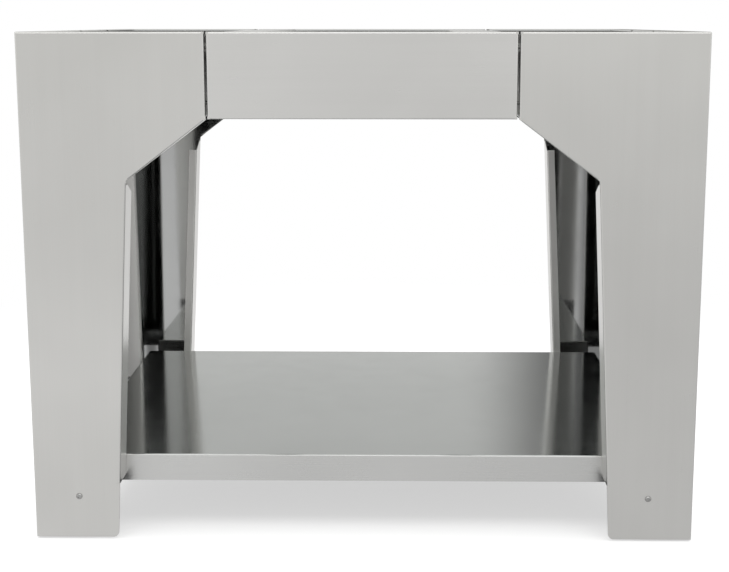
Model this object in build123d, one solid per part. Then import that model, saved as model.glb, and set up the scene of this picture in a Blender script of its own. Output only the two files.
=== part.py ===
from build123d import *
from dataclasses import dataclass
import math
import os

# Outdoor oven stand in folded stainless sheet.
# Origin on the floor under the middle of the stand, +Z up, front facing -Y.

# Overall size
stand_width = 1070.0
stand_depth = 800.0
stand_height = 820.0

# Sheet and folds
sheet = 1.5
bend_inside = 1.5
fold_stub = 3.0
corner_relief = 4.0
weld_edge = 0.0
overrun = 5.0

# Corner leg, one folded part used at all four corners
leg_floor_gap = 3.0
leg_foot_width = 135.0
leg_knee_width = 165.0
leg_knee_drop = 230.0
leg_top_width = 292.0
foot_corner_radius = 9.0
wing_flange_depth = 50.0
wing_flange_start = 90.0
wing_lip = 16.0
brace_flange_depth = 35.0
mitre_gap = 1.0

# Band round the top: fascias that join the legs
band_height = 134.0
band_joint_gap = 3.0
band_return = 35.0
band_return_lip = 20.0
band_end_flange = 35.0
band_bottom_flange = 25.0
band_bolt_depth = 18.0
band_bolt_inset = 24.0
spacer_depth = 11.0
spacer_edge_gap = 1.0
spacer_rises = (36.0, 13.0)

# Bearers across the open top, which the oven is bolted to
bearer_width = 60.0
bearer_wall = 40.0
bearer_end_gap = 50.0
oven_bolt_spacing = 500.0
oven_bolt_hole_radius = 4.5

# Shelf tray with its stiffeners
shelf_height = 128.0
shelf_lip = 45.0
shelf_bolt_drop = 23.0
stiffener_width = 40.0
stiffener_depth = 25.0
stiffener_brim = 18.0
stiffener_spacing = 260.0
stiffener_end_gap = 2.0

# M6 fasteners
bolt_radius = 3.0
bolt_hole_radius = 3.3
bolt_head_across = 10.0
bolt_head_height = 4.0
bolt_end = 1.5
nut_height = 5.0
thread_clearance = 0.05
button_radius = 5.25
button_height = 3.3
button_slope = 2.4
button_socket_across = 4.0
button_socket_depth = 2.0

# Foot brackets inside the legs
foot_inset = 72.5
foot_screw_height = 72.5
bracket_sheet = 2.5
bracket_height = 28.0
bracket_reach = 100.0
bracket_tab_top = 86.0
bracket_corner_cut = 14.0

# Levelling feet
stud_radius = 5.0
stud_rise = 46.0
stud_chamfer = 1.0
weld_nut_across = 17.0
weld_nut_height = 8.0
lock_nut_height = 5.0
stud_hex_across = 14.0
stud_hex_height = 8.0
stud_stop_gap = 0.3
stud_neck_radius = 4.0
stud_neck_clearance = 0.05
stud_seat_height = 4.0
stud_seat_gap = 0.3
pad_radius = 20.0
pad_rim = 6.0
pad_height = 13.0
pad_hub_radius = 9.0

# Places worked out from the sizes above
bend_outside = bend_inside + sheet
fold_band = bend_outside + fold_stub
half_width = stand_width / 2
half_depth = stand_depth / 2
band_foot = stand_height - band_height
knee_height = stand_height - leg_knee_drop
fascia_length = stand_width - 2 * (leg_top_width + band_joint_gap)
bearer_middle = fascia_length / 2 - bearer_end_gap
shelf_half_x = half_width - wing_flange_depth
shelf_half_y = half_depth - wing_flange_depth
shelf_bolt_height = shelf_height - shelf_bolt_drop
band_bolt_heights = (band_foot + band_bolt_inset, stand_height - band_bolt_inset)
lock_nut_foot = bracket_height - lock_nut_height
stud_hex_top = lock_nut_foot - stud_stop_gap
stud_hex_foot = stud_hex_top - stud_hex_height
inward_y = Vector(0, 1, 0)
up = Vector(0, 0, 1)


@dataclass
class Fold:
    """One folded edge of a panel: how deep it goes, its lip, and where it stops short."""
    depth: float
    lip: float = 0.0
    start_gap: float = corner_relief
    end_gap: float = corner_relief


# Sheet metal
def bent_strip(points, thickness):
    """Section of a bent strip whose outer face follows the points, sheet on their right."""
    outer = FilletPolyline(*points, radius=bend_inside + thickness)
    return make_face(outer.wire().offset_2d(thickness, side=Side.RIGHT).edges())


def edge_frame(start, end, inward):
    """Frame at the end of an edge: X into the sheet, Y inwards, Z back to the start."""
    into_sheet = (end - start).normalized().cross(inward)
    return Plane(origin=end, x_dir=into_sheet, z_dir=into_sheet.cross(inward))


def edge_fold(start, end, inward, fold, thickness):
    """The fold along one edge of a panel."""
    section = [(fold_band, 0), (0, 0), (0, fold.depth)]
    if fold.lip:
        section.append((fold.lip, fold.depth))
    frame = edge_frame(start, end, inward)
    length = (end - start).length - fold.start_gap - fold.end_gap
    return frame * Pos(0, 0, fold.end_gap) * extrude(bent_strip(section, thickness), length)


def edge_band(start, end, inward):
    """Block that clears the flat sheet where a fold takes over."""
    length = (end - start).length
    block = Box(fold_band, overrun, length, align=(Align.MIN, Align.CENTER, Align.MIN))
    return edge_frame(start, end, inward) * block


def folded_panel(outline, inward, folds, thickness=sheet):
    """A flat sheet with its edges folded inwards, one entry in folds for each edge."""
    flat = extrude(make_face(Polyline(*outline, close=True)), thickness, dir=inward)
    edges = list(zip(outline, outline[1:] + outline[:1], folds))
    for start, end, fold in edges:
        if fold:
            flat -= edge_band(start, end, inward)
    for start, end, fold in edges:
        if fold:
            flat += edge_fold(start, end, inward, fold, thickness)
    return flat


def drill(point, direction, radius, reach=overrun):
    """Cutter for a round hole centred on a point."""
    return Plane(origin=point, z_dir=direction) * Cylinder(radius, 2 * reach)


def place(shape, point, direction):
    """A shape built along +Z, moved so that it starts at a point and runs along a direction."""
    return Plane(origin=point, z_dir=direction) * shape


# Corner leg, drawn with its outer corner at the origin and its wings along +X and +Y
def leg_edge(height):
    """Width of a wing at a height below its knee."""
    rise_share = (height - leg_floor_gap) / (knee_height - leg_floor_gap)
    return leg_foot_width + (leg_knee_width - leg_foot_width) * rise_share


def on_wing(width, height, depth=0):
    """A point of the wing that lies along X."""
    return Vector(width, depth, height)


def mitre_wedge(knee, away, half_angle):
    """Wedge that mitres a flange where it meets its neighbour at the knee."""
    slope = 1 / math.tan(half_angle)
    depth = wing_flange_depth + overrun
    near = bend_outside
    corners = [(-overrun, near), (mitre_gap + near * slope, near)]
    corners += [(mitre_gap + depth * slope, depth), (-overrun, depth)]
    frame = Plane(origin=knee, x_dir=away, z_dir=away.cross(inward_y))
    return frame * extrude(make_face(Polyline(*corners, close=True)), wing_lip + overrun, both=True)


def leg_wing():
    """One wing of the leg, from its foot to the band, with every flange of its open edges."""
    foot = on_wing(leg_foot_width, leg_floor_gap)
    flange_foot = on_wing(leg_edge(wing_flange_start), wing_flange_start)
    knee = on_wing(leg_knee_width, knee_height)
    brace_top = on_wing(leg_top_width, band_foot)
    outline = [on_wing(bend_outside, leg_floor_gap), foot, flange_foot, knee, brace_top]
    outline += [on_wing(leg_top_width, stand_height), on_wing(weld_edge, stand_height)]
    outline += [on_wing(weld_edge, stand_height - bend_outside)]
    outline += [on_wing(bend_outside, stand_height - bend_outside)]
    folds = [None, None, Fold(wing_flange_depth, lip=wing_lip), Fold(brace_flange_depth)]
    folds += [Fold(band_end_flange), Fold(band_return, lip=band_return_lip, end_gap=weld_edge)]
    folds += [None, None, None]
    wing = folded_panel(outline, inward_y, folds)
    foot_edge = wing.edges().filter_by(Axis.Y).sort_by_distance(foot)[0]
    wing = fillet(foot_edge, foot_corner_radius)

    down = (foot - knee).normalized()
    brace = (brace_top - knee).normalized()
    half_angle = math.radians(down.get_angle(brace)) / 2
    wing -= mitre_wedge(knee, down, half_angle)
    wing -= mitre_wedge(knee, brace, half_angle)

    for height in band_bolt_heights:
        wing -= drill(on_wing(leg_top_width, height, band_bolt_depth), Vector(1, 0, 0), bolt_hole_radius)
    wing -= drill(on_wing(foot_inset, foot_screw_height), inward_y, bolt_hole_radius)
    return wing


def shelf_bolt_place():
    """Middle of the lip that carries the shelf, on its inner face. Only the wing along X is bolted."""
    lip_middle = leg_edge(shelf_bolt_height) - (wing_lip + bend_inside) / 2
    return on_wing(lip_middle, shelf_bolt_height, wing_flange_depth)


def across_corner(shape):
    """The same shape on the leg's other wing."""
    return mirror(shape, about=Plane(origin=(0, 0, 0), z_dir=(1, -1, 0)))


def corner_leg():
    """The whole leg: two wings, welded at the top's mitre and bent from one sheet below it."""
    span = leg_top_width + overrun
    half = make_face(Polyline((0, 0), (span, 0), (span, span), close=True))
    wing = leg_wing() & extrude(half, stand_height)
    bend = bent_strip([(fold_band, 0), (0, 0), (0, fold_band)], sheet)
    corner = Pos(0, 0, leg_floor_gap) * extrude(bend, stand_height - fold_band - leg_floor_gap)
    leg = wing + across_corner(wing) + corner - drill(shelf_bolt_place(), inward_y, bolt_hole_radius)
    block = Box(span, span, stand_height, align=Align.MIN)
    outer_edge = block.edges().filter_by(Axis.Z).sort_by_distance((0, 0, stand_height / 2))[0]
    return leg & fillet(outer_edge, bend_outside)


# Each corner's place: the leg's own frame, turned a quarter turn from one corner to the next
corner_places = {
    "front_left": Pos(-half_width, -half_depth, 0),
    "front_right": Pos(half_width, -half_depth, 0) * Rot(0, 0, 90),
    "rear_right": Pos(half_width, half_depth, 0) * Rot(0, 0, 180),
    "rear_left": Pos(-half_width, half_depth, 0) * Rot(0, 0, 270),
}


def at_every_corner(shapes):
    """Copies of a corner's shapes at all four corners."""
    return [corner * shape for corner in corner_places.values() for shape in shapes]


# Fascias between the legs
def fascia(length):
    """A channel with closed ends, bolted between two legs."""
    low, high = -length / 2, length / 2
    outline = [on_wing(low, band_foot), on_wing(high, band_foot)]
    outline += [on_wing(high, stand_height), on_wing(low, stand_height)]
    end = Fold(band_end_flange)
    folds = [Fold(band_bottom_flange), end, Fold(band_return, lip=band_return_lip), end]
    channel = folded_panel(outline, inward_y, folds)
    for side in (low, high):
        for height in band_bolt_heights:
            channel -= drill(on_wing(side, height, band_bolt_depth), Vector(1, 0, 0), bolt_hole_radius)
    return channel


def bearer_bolt_height():
    """Height of the bearers' bolts, in the middle of the band's return lip."""
    return stand_height - (band_return_lip + bend_inside) / 2


def long_fascia():
    """A fascia of the front or rear, with the holes that take the bearers."""
    channel = fascia(fascia_length)
    for middle in (-bearer_middle, bearer_middle):
        channel -= drill(on_wing(middle, bearer_bolt_height(), band_return), inward_y, bolt_hole_radius)
    return channel


def short_fascia():
    """A fascia of one side."""
    return fascia(stand_depth - 2 * (leg_top_width + band_joint_gap))


# Bearers
def bearer():
    """A channel across the open top, hung by a tab at each end, with the oven's bolt holes."""
    reach = half_depth - band_return
    side = bearer_width / 2
    outline = [Vector(-side, -reach, stand_height), Vector(side, -reach, stand_height)]
    outline += [Vector(side, reach, stand_height), Vector(-side, reach, stand_height)]
    tab = Fold(band_return_lip)
    wall = Fold(bearer_wall)
    channel = folded_panel(outline, -up, [tab, wall, tab, wall])
    for end in (-reach, reach):
        channel -= drill(Vector(0, end, bearer_bolt_height()), inward_y, bolt_hole_radius)
    for place_y in (-oven_bolt_spacing / 2, oven_bolt_spacing / 2):
        channel -= drill(Vector(0, place_y, stand_height), up, oven_bolt_hole_radius)
    return channel


# Shelf
def shelf_tray():
    """The shelf: one sheet with its four edges folded down, bolted to the legs' lips."""
    x, y, z = shelf_half_x, shelf_half_y, shelf_height
    outline = [Vector(-x, -y, z), Vector(x, -y, z), Vector(x, y, z), Vector(-x, y, z)]
    tray = folded_panel(outline, -up, [Fold(shelf_lip)] * 4)
    for hole in at_every_corner([drill(shelf_bolt_place(), inward_y, bolt_hole_radius)]):
        tray -= hole
    return tray


def shelf_stiffener():
    """A top-hat section under the tray, from one side lip to the other."""
    half = stiffener_width / 2
    brim = half + stiffener_brim
    points = [(-brim, 0), (-half, 0), (-half, -stiffener_depth)]
    points += [(half, -stiffener_depth), (half, 0), (brim, 0)]
    length = 2 * (shelf_half_x - sheet - stiffener_end_gap)
    hat = extrude(bent_strip(points, sheet), length / 2, both=True)
    return Plane(origin=(0, 0, shelf_height - sheet), x_dir=(0, 1, 0), z_dir=(1, 0, 0)) * hat


# Fasteners, built along +Z with the face that bears on the sheet at the origin
def rising_cylinder(radius, height):
    """A round bar that stands on the origin."""
    return Cylinder(radius, height, align=(Align.CENTER, Align.CENTER, Align.MIN))


def hexagon(across, height):
    """A hexagonal prism of the given width across its flats."""
    return extrude(RegularPolygon(across / 2, 6, major_radius=False), height)


def shank(grip):
    """A bolt's shank below its head, long enough for the grip and the nut."""
    length = grip + nut_height + bolt_end
    return Cylinder(bolt_radius, length, align=(Align.CENTER, Align.CENTER, Align.MAX))


def hex_bolt(grip):
    """A hexagon-head bolt."""
    return shank(grip) + hexagon(bolt_head_across, bolt_head_height)


def button_screw(grip):
    """A button-head screw with a hexagon socket."""
    head = rising_cylinder(button_radius, button_height)
    screw = shank(grip) + chamfer(head.edges().group_by(Axis.Z)[-1], button_slope)
    socket = hexagon(button_socket_across, button_socket_depth + overrun)
    return screw - Pos(0, 0, button_height - button_socket_depth) * socket


def nut(across=bolt_head_across, height=nut_height, bolt=bolt_radius):
    """A hexagon nut whose bore clears its bolt by the thread clearance."""
    return hexagon(across, height) - Cylinder(bolt + thread_clearance, 2 * height + overrun)


def band_joint():
    """Bolts, nuts and spacers between one leg wing and its fascia."""
    grip = band_joint_gap + 2 * sheet
    along = Vector(1, 0, 0)
    bolts, nuts, spacers = [], [], []
    spacer_middle = band_end_flange - spacer_edge_gap - spacer_depth / 2
    for height, rise in zip(band_bolt_heights, spacer_rises):
        head = leg_top_width + band_joint_gap + sheet
        bolts.append(place(hex_bolt(grip), on_wing(head, height, band_bolt_depth), along))
        nuts.append(place(nut(), on_wing(leg_top_width - sheet, height, band_bolt_depth), -along))
        spot = on_wing(leg_top_width + band_joint_gap / 2, height, spacer_middle)
        spacers.append(Pos(spot) * Box(band_joint_gap, spacer_depth, rise))
    return bolts, nuts, spacers


def on_both_wings(shapes):
    """A wing's shapes, and the same on the leg's other wing."""
    return shapes + [across_corner(shape) for shape in shapes]


def shelf_joint():
    """The bolt and nut that hold the tray to one lip of a leg."""
    spot = shelf_bolt_place()
    bolt = place(hex_bolt(2 * sheet), spot - inward_y * sheet, -inward_y)
    washer_face = spot + inward_y * sheet
    return [bolt], [place(nut(), washer_face, inward_y)]


def bearer_joints():
    """Bolts and nuts that hold both bearers to the long fascias."""
    bolts, nuts = [], []
    lip_face = half_depth - band_return
    for middle in (-bearer_middle, bearer_middle):
        for outward in (-inward_y, inward_y):
            spot = Vector(middle, 0, bearer_bolt_height()) + outward * lip_face
            bolts.append(place(hex_bolt(2 * sheet), spot + outward * sheet, outward))
            nuts.append(place(nut(), spot - outward * sheet, -outward))
    return bolts, nuts


# Foot brackets and levelling feet, in the leg's own frame
def foot_bracket():
    """A shelf inside the leg for the levelling foot, with a tab up each wing."""
    near, far = sheet, bracket_reach
    cut = near + bracket_corner_cut
    bevel = far - bracket_corner_cut
    spots = [(far, near), (cut, near), (near, cut), (near, far), (bevel, far), (far, bevel)]
    outline = [Vector(x, y, bracket_height) for x, y in spots]
    tab = Fold(bracket_tab_top - bracket_height)
    bracket = folded_panel(outline, up, [tab, None, tab, None, None, None], bracket_sheet)
    screw_hole = drill(on_wing(foot_inset, foot_screw_height, sheet), inward_y, bolt_hole_radius)
    bracket -= screw_hole
    bracket -= across_corner(screw_hole)
    stud_hole = stud_radius + thread_clearance
    return bracket - drill(Vector(foot_inset, foot_inset, bracket_height), up, stud_hole)


def bracket_screws():
    """The button-head screw and nut that hold one tab of the bracket to its wing."""
    screw = place(button_screw(sheet + bracket_sheet), on_wing(foot_inset, foot_screw_height), -inward_y)
    nut_face = on_wing(foot_inset, foot_screw_height, sheet + bracket_sheet)
    return [screw], [place(nut(), nut_face, inward_y)]


def weld_nut():
    """The nut welded on the bracket, which carries the stand on the foot's stud."""
    body = nut(weld_nut_across, weld_nut_height, stud_radius)
    return Pos(foot_inset, foot_inset, bracket_height + bracket_sheet) * body


def lock_nut():
    """The nut under the bracket that locks the stud."""
    body = nut(weld_nut_across, lock_nut_height, stud_radius)
    return Pos(foot_inset, foot_inset, lock_nut_foot) * body


def foot_stud():
    """The foot's threaded stud, with the hexagon that turns it and a neck that swivels in the pad."""
    rod = Pos(0, 0, stud_hex_top) * rising_cylinder(stud_radius, stud_rise)
    rod = chamfer(rod.edges().group_by(Axis.Z)[-1], stud_chamfer)
    flats = Pos(0, 0, stud_hex_foot) * hexagon(stud_hex_across, stud_hex_height)
    neck_foot = stud_seat_height + stud_seat_gap
    neck = rising_cylinder(stud_neck_radius, stud_hex_foot - neck_foot)
    return Pos(foot_inset, foot_inset, 0) * (rod + flats + Pos(0, 0, neck_foot) * neck)


def foot_pad():
    """The foot's moulded pad: a flat rim that slopes up to a hub round the stud's neck."""
    points = [(0, 0), (pad_radius, 0), (pad_radius, pad_rim), (pad_hub_radius, pad_height), (0, pad_height)]
    pad = revolve(make_face(Plane.XZ * Polyline(*points, close=True)), Axis.Z)
    bore_depth = pad_height - stud_seat_height
    bore = rising_cylinder(stud_neck_radius + stud_neck_clearance, bore_depth + overrun)
    return Pos(foot_inset, foot_inset, 0) * (pad - Pos(0, 0, stud_seat_height) * bore)


# Every node of the stand, by name
def stand_parts():
    """The stand's pieces, each in its place."""
    parts = {}
    leg, bracket, stud, pad = corner_leg(), foot_bracket(), foot_stud(), foot_pad()
    for corner, location in corner_places.items():
        parts["leg_" + corner] = location * leg
        parts["foot_bracket_" + corner] = location * bracket
        parts["foot_stud_" + corner] = location * stud
        parts["foot_pad_" + corner] = location * pad

    wide, narrow = long_fascia(), short_fascia()
    parts["fascia_front"] = Pos(0, -half_depth, 0) * wide
    parts["fascia_rear"] = Pos(0, half_depth, 0) * Rot(0, 0, 180) * wide
    parts["fascia_right"] = Pos(half_width, 0, 0) * Rot(0, 0, 90) * narrow
    parts["fascia_left"] = Pos(-half_width, 0, 0) * Rot(0, 0, 270) * narrow

    beam = bearer()
    parts["bearer_left"] = Pos(-bearer_middle, 0, 0) * beam
    parts["bearer_right"] = Pos(bearer_middle, 0, 0) * beam
    parts["shelf_tray"] = shelf_tray()
    stiffener = shelf_stiffener()
    parts["shelf_stiffener_front"] = Pos(0, -stiffener_spacing / 2, 0) * stiffener
    parts["shelf_stiffener_rear"] = Pos(0, stiffener_spacing / 2, 0) * stiffener

    bolts, nuts, spacers = band_joint()
    parts["band_bolts"] = at_every_corner(on_both_wings(bolts))
    parts["band_nuts"] = at_every_corner(on_both_wings(nuts))
    parts["band_spacers"] = at_every_corner(on_both_wings(spacers))
    bolts, nuts = bearer_joints()
    parts["bearer_bolts"] = bolts
    parts["bearer_nuts"] = nuts
    bolts, nuts = shelf_joint()
    parts["shelf_bolts"] = at_every_corner(bolts)
    parts["shelf_nuts"] = at_every_corner(nuts)
    screws, nuts = bracket_screws()
    parts["bracket_screws"] = at_every_corner(on_both_wings(screws))
    parts["bracket_nuts"] = at_every_corner(on_both_wings(nuts))
    parts["foot_weld_nuts"] = at_every_corner([weld_nut()])
    parts["foot_lock_nuts"] = at_every_corner([lock_nut()])
    return parts


os.makedirs("parts", exist_ok=True)
for name, shape in stand_parts().items():
    solids = shape if isinstance(shape, list) else [shape]
    body = Compound(children=[solid for piece in solids for solid in piece.solids()])
    body.label = name
    export_step(body, "parts/" + name + ".step")
    print(name, len(body.solids()), "solids", round(body.volume), "mm3")
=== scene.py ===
# %% [markdown]
# # An oven stand in folded stainless sheet
# The stand carries an outdoor oven: four corner legs, a band round the open top and a low shelf.
# Each part is a sheet of stainless steel, cut flat and folded. The folded shapes come from the
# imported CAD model, so this lesson is about light, about brushed metal, and about the small pieces
# that a maker buys or adds: screws, nuts, threads, welds and feet.

import math

import bmesh
import bpy
from mathutils import Matrix, Vector


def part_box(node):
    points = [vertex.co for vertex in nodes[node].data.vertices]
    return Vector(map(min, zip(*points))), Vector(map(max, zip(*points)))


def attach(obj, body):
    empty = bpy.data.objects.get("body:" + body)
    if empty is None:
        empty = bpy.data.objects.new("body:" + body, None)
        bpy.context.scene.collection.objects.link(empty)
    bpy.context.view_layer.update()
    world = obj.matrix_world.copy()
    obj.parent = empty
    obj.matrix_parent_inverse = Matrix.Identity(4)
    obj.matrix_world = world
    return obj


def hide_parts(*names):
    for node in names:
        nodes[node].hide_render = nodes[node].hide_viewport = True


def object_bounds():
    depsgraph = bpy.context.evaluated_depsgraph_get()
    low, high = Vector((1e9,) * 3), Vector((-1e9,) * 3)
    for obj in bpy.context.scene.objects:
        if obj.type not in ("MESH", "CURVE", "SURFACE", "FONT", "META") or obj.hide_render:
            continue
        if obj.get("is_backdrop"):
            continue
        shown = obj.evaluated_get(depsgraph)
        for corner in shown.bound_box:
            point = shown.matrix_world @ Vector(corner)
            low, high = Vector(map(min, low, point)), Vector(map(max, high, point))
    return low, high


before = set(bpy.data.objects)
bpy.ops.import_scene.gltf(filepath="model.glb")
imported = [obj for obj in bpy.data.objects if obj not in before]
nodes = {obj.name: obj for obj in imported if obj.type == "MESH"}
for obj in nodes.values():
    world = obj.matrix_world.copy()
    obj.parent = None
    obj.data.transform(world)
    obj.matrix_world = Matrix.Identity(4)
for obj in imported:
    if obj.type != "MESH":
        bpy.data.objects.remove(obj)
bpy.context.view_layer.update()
leg_low, leg_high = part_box("leg_front_left")
half_x, half_y, top = -leg_low.x, -leg_low.y, leg_high.z
corner_names = ["front_left", "front_right", "rear_right", "rear_left"]
print("sheet metal reaches", round(half_x, 4), round(half_y, 4), round(top, 4))

# %% [markdown]
# ## The place of the camera
# The photograph looks at the stand from the front, a little to the right of its middle, with a long
# lens. Its upright edges stay nearly parallel and its top surface doesn't show, but its shelf does.
# A real camera would stand higher and shift its lens far down. A large shift would spoil every other
# view, so this camera stands at the height of the top edge, tilts down and shifts only a little.

# %% Camera
def as_object(name, data):
    """An object for a mesh, a curve, a light or a camera, at the origin."""
    made = bpy.data.objects.new(name, data)
    bpy.context.scene.collection.objects.link(made)
    return made


picture_width, focal_pixels = 729, 1322.0
degrees_down, degrees_left = 9.75, 0.8
camera_data = bpy.data.cameras.new("camera")
camera_data.sensor_width = 36.0
camera_data.lens = focal_pixels / picture_width * camera_data.sensor_width
camera_data.shift_x, camera_data.shift_y = -0.02, -0.05
camera = as_object("camera", camera_data)
camera.location = (0.055, -2.450, 0.834)
camera.rotation_euler = (math.radians(90 - degrees_down), 0, math.radians(degrees_left))
bpy.context.scene.camera = camera
bpy.context.scene.view_settings.view_transform = "Standard"
print("lens", round(camera_data.lens, 1), "mm")


# %% [markdown]
# ## A white floor
# The photograph shows the stand on plain white. One large pale plane does for a floor. Near the
# stand it takes a soft shadow, so that the feet stand on something, and further out it fades to the
# white of the world, so that no horizon shows from any side.

# %% Helpers for materials
def new_material(name):
    """A node material with its Principled shader."""
    material = bpy.data.materials.new(name)
    material.use_nodes = True
    return material, material.node_tree, material.node_tree.nodes["Principled BSDF"]


def object_place(tree):
    """The point on the object that is being coloured, in metres. It doesn't slide when the camera moves."""
    return tree.nodes.new("ShaderNodeTexCoord").outputs["Object"]


def three_axes(tree, vector):
    """The X, Y and Z of a place or a direction."""
    split = tree.nodes.new("ShaderNodeSeparateXYZ")
    tree.links.new(vector, split.inputs[0])
    return split.outputs["X"], split.outputs["Y"], split.outputs["Z"]


def smooth_step(tree, value, low, high, top=1.0):
    """A value that rises smoothly from 0 at low to top at high."""
    rise = tree.nodes.new("ShaderNodeMapRange")
    rise.interpolation_type = "SMOOTHSTEP"
    rise.inputs["From Min"].default_value = low
    rise.inputs["From Max"].default_value = high
    rise.inputs["To Max"].default_value = top
    tree.links.new(value, rise.inputs["Value"])
    return rise.outputs["Result"]


def math_node(tree, operation, *values):
    """One Math node, on numbers or on other nodes' values."""
    node = tree.nodes.new("ShaderNodeMath")
    node.operation = operation
    for value, socket in zip(values, node.inputs):
        if isinstance(value, (int, float)):
            socket.default_value = value
        else:
            tree.links.new(value, socket)
    return node.outputs[0]


def either_shader(tree, share, first, second, surface):
    """Two shaders mixed by a share and led to a surface: the first where the share is 0, the second at 1."""
    mix = tree.nodes.new("ShaderNodeMixShader")
    for value, socket in zip((share, first.outputs[0], second.outputs[0]), mix.inputs):
        tree.links.new(value, socket)
    tree.links.new(mix.outputs[0], surface.inputs["Surface"])


# %% Floor
def stage_sheet(name, corners, material):
    """A flat sheet of the studio, which isn't part of the stand."""
    mesh = bpy.data.meshes.new(name)
    mesh.from_pydata(corners, [], [tuple(range(len(corners)))])
    mesh.materials.append(material)
    sheet = as_object(name, mesh)
    sheet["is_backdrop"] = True
    return sheet


def floor_corners(height):
    """A wide square at one height."""
    return [(-far, -far, height), (far, -far, height), (far, far, height), (-far, far, height)]


far = 30
shadow_radius, white_radius = 0.7, 1.8
glow_near_stand, glow_gain = 0.58, 0.42
floor_paint, tree, shader = new_material("floor_paint")
shader.inputs["Base Color"].default_value = (0.92, 0.92, 0.92, 1)
shader.inputs["Roughness"].default_value = 0.9
shader.inputs["Specular IOR Level"].default_value = 0.1
away = tree.nodes.new("ShaderNodeVectorMath")
away.operation = "LENGTH"
tree.links.new(object_place(tree), away.inputs[0])
fade = smooth_step(tree, away.outputs["Value"], shadow_radius, white_radius, glow_gain)
share = math_node(tree, "ADD", fade, glow_near_stand)
either_shader(tree, share, shader, tree.nodes.new("ShaderNodeEmission"), tree.nodes["Material Output"])
floor = stage_sheet("floor", floor_corners(0), floor_paint)
floor.visible_glossy = False
print("floor", 2 * far, "m wide")


# %% [markdown]
# ## What the metal sees
# Bright metal shows its surroundings, so a photographer builds what it should show. Here the metal
# sees a grey floor just under the white one, soft light from above and from the sides, and a dark
# flag in each side opening. Such flags give the inner faces their dark bands. They are solid only to
# light that has bounced twice or more, so the shelf mirrors them softly when the camera goes round.
# The floor that the metal sees has a painted shadow under the stand, which draws the dark line along
# its lower edges, and a bright card above the front gives the screw heads and the upper edges their
# glints. None of this shows to the camera directly.

# %% Sheets that only reflections see
def reflected_sheet(name, corners, brightness, cover=None):
    """A glowing sheet that only reflections see. The cover says how solid it looks to them."""
    material, tree, shader = new_material(name)
    tree.nodes.remove(shader)
    surface = tree.nodes["Material Output"]
    glow = tree.nodes.new("ShaderNodeEmission")
    if cover:
        either_shader(tree, cover(tree), tree.nodes.new("ShaderNodeBsdfTransparent"), glow, surface)
    else:
        tree.links.new(glow.outputs[0], surface.inputs["Surface"])
    if callable(brightness):
        tree.links.new(brightness(tree), glow.inputs["Strength"])
    else:
        glow.inputs["Strength"].default_value = brightness
    sheet = stage_sheet(name, corners, material)
    sheet.visible_camera = sheet.visible_diffuse = sheet.visible_shadow = False


# %% The floor in reflections
# A zone is where a change starts and where it is full.
# The last number on the next line is how much glow a painted shadow under the stand takes away.
floor_grey, left_gain, right_loss, rear_gain, painted_shadow_loss = 0.74, 0.09, 0.22, 0.20, 0.95
near_zone, across_zone, rear_floor_zone = (-7.0, -0.8), (-1.0, 1.0), (0.3, 0.9)
shade_reach, shade_fade = 0.02, 0.04
under_floor = -0.002


def floor_glow(tree):
    """A painted shadow under the stand, bright behind it. In front, brighter on the left than the right."""
    x, y, _ = three_axes(tree, object_place(tree))
    near = smooth_step(tree, y, *near_zone)
    to_right = smooth_step(tree, x, *across_zone, -right_loss)
    change = math_node(tree, "MULTIPLY", near, math_node(tree, "ADD", to_right, left_gain))
    behind = smooth_step(tree, y, *rear_floor_zone, rear_gain)
    glow = math_node(tree, "ADD", math_node(tree, "ADD", change, behind), floor_grey)
    # The stand's footprint, where a painted shadow takes most of the glow.
    in_width = smooth_step(tree, math_node(tree, "ABSOLUTE", x), half_x + shade_reach, half_x - shade_fade)
    in_depth = smooth_step(tree, math_node(tree, "ABSOLUTE", y), half_y + shade_reach, half_y - shade_fade,
                           painted_shadow_loss)
    in_painted_shadow = math_node(tree, "MULTIPLY", in_width, in_depth)
    return math_node(tree, "MULTIPLY", glow, math_node(tree, "SUBTRACT", 1.0, in_painted_shadow))


reflected_sheet("reflected_floor", floor_corners(under_floor), floor_glow)
print("reflected floor", floor_grey, "bright,", round(floor_grey * (1 - painted_shadow_loss), 3), "in the shade")

# %% Flags and card
# For each flag: its side, its front and its rear end, and how bright it is. The card's near and far
# edges are given by their depth and height.
opening_top, flag_inset = 0.69, 0.0007
first_bounce_cover, front_fade, rear_fade = 0.7, 0.12, 0.08
after_first_bounce = 1.5
flags = {"left_flag": (-1, 0.03, 0.27, 0.01), "right_flag": (1, -0.22, 0.27, 0.2)}
card_left, card_right, card_brightness = -1.5, 2.5, 1.7
card_near, card_far = (-2.4, 1.9), (-1.6, 3.3)


def flag_cover(front_end, rear_end):
    """Solid from the second bounce on. To the first bounce, thinner and with soft ends."""
    def cover(tree):
        _, y, _ = three_axes(tree, object_place(tree))
        from_front = smooth_step(tree, y, front_end, front_end + front_fade, first_bounce_cover)
        from_rear = smooth_step(tree, y, rear_end, rear_end - rear_fade)
        bounces = tree.nodes.new("ShaderNodeLightPath").outputs["Ray Depth"]
        later = math_node(tree, "GREATER_THAN", bounces, after_first_bounce)
        return math_node(tree, "MAXIMUM", later, math_node(tree, "MULTIPLY", from_front, from_rear))
    return cover


for name, (side, front_end, rear_end, grey) in flags.items():
    x = side * (half_x - flag_inset)
    corners = [(x, front_end, 0), (x, rear_end, 0), (x, rear_end, opening_top), (x, front_end, opening_top)]
    reflected_sheet(name, corners, grey, flag_cover(front_end, rear_end))
corners = [(card_left, *card_near), (card_right, *card_near), (card_right, *card_far), (card_left, *card_far)]
reflected_sheet("bright_card", corners, card_brightness)

# %% [markdown]
# ## Light from the room
# The camera sees a white world, and the metal sees another one: a grey room, brighter overhead and at
# the sides, with two soft lights in front and one dark strip behind. It could be a photograph of a
# real studio, but a few soft steps along the axes of the direction are enough, and each one can be
# moved by its own numbers. One large softbox overhead lights the floor and the rubber.

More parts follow.
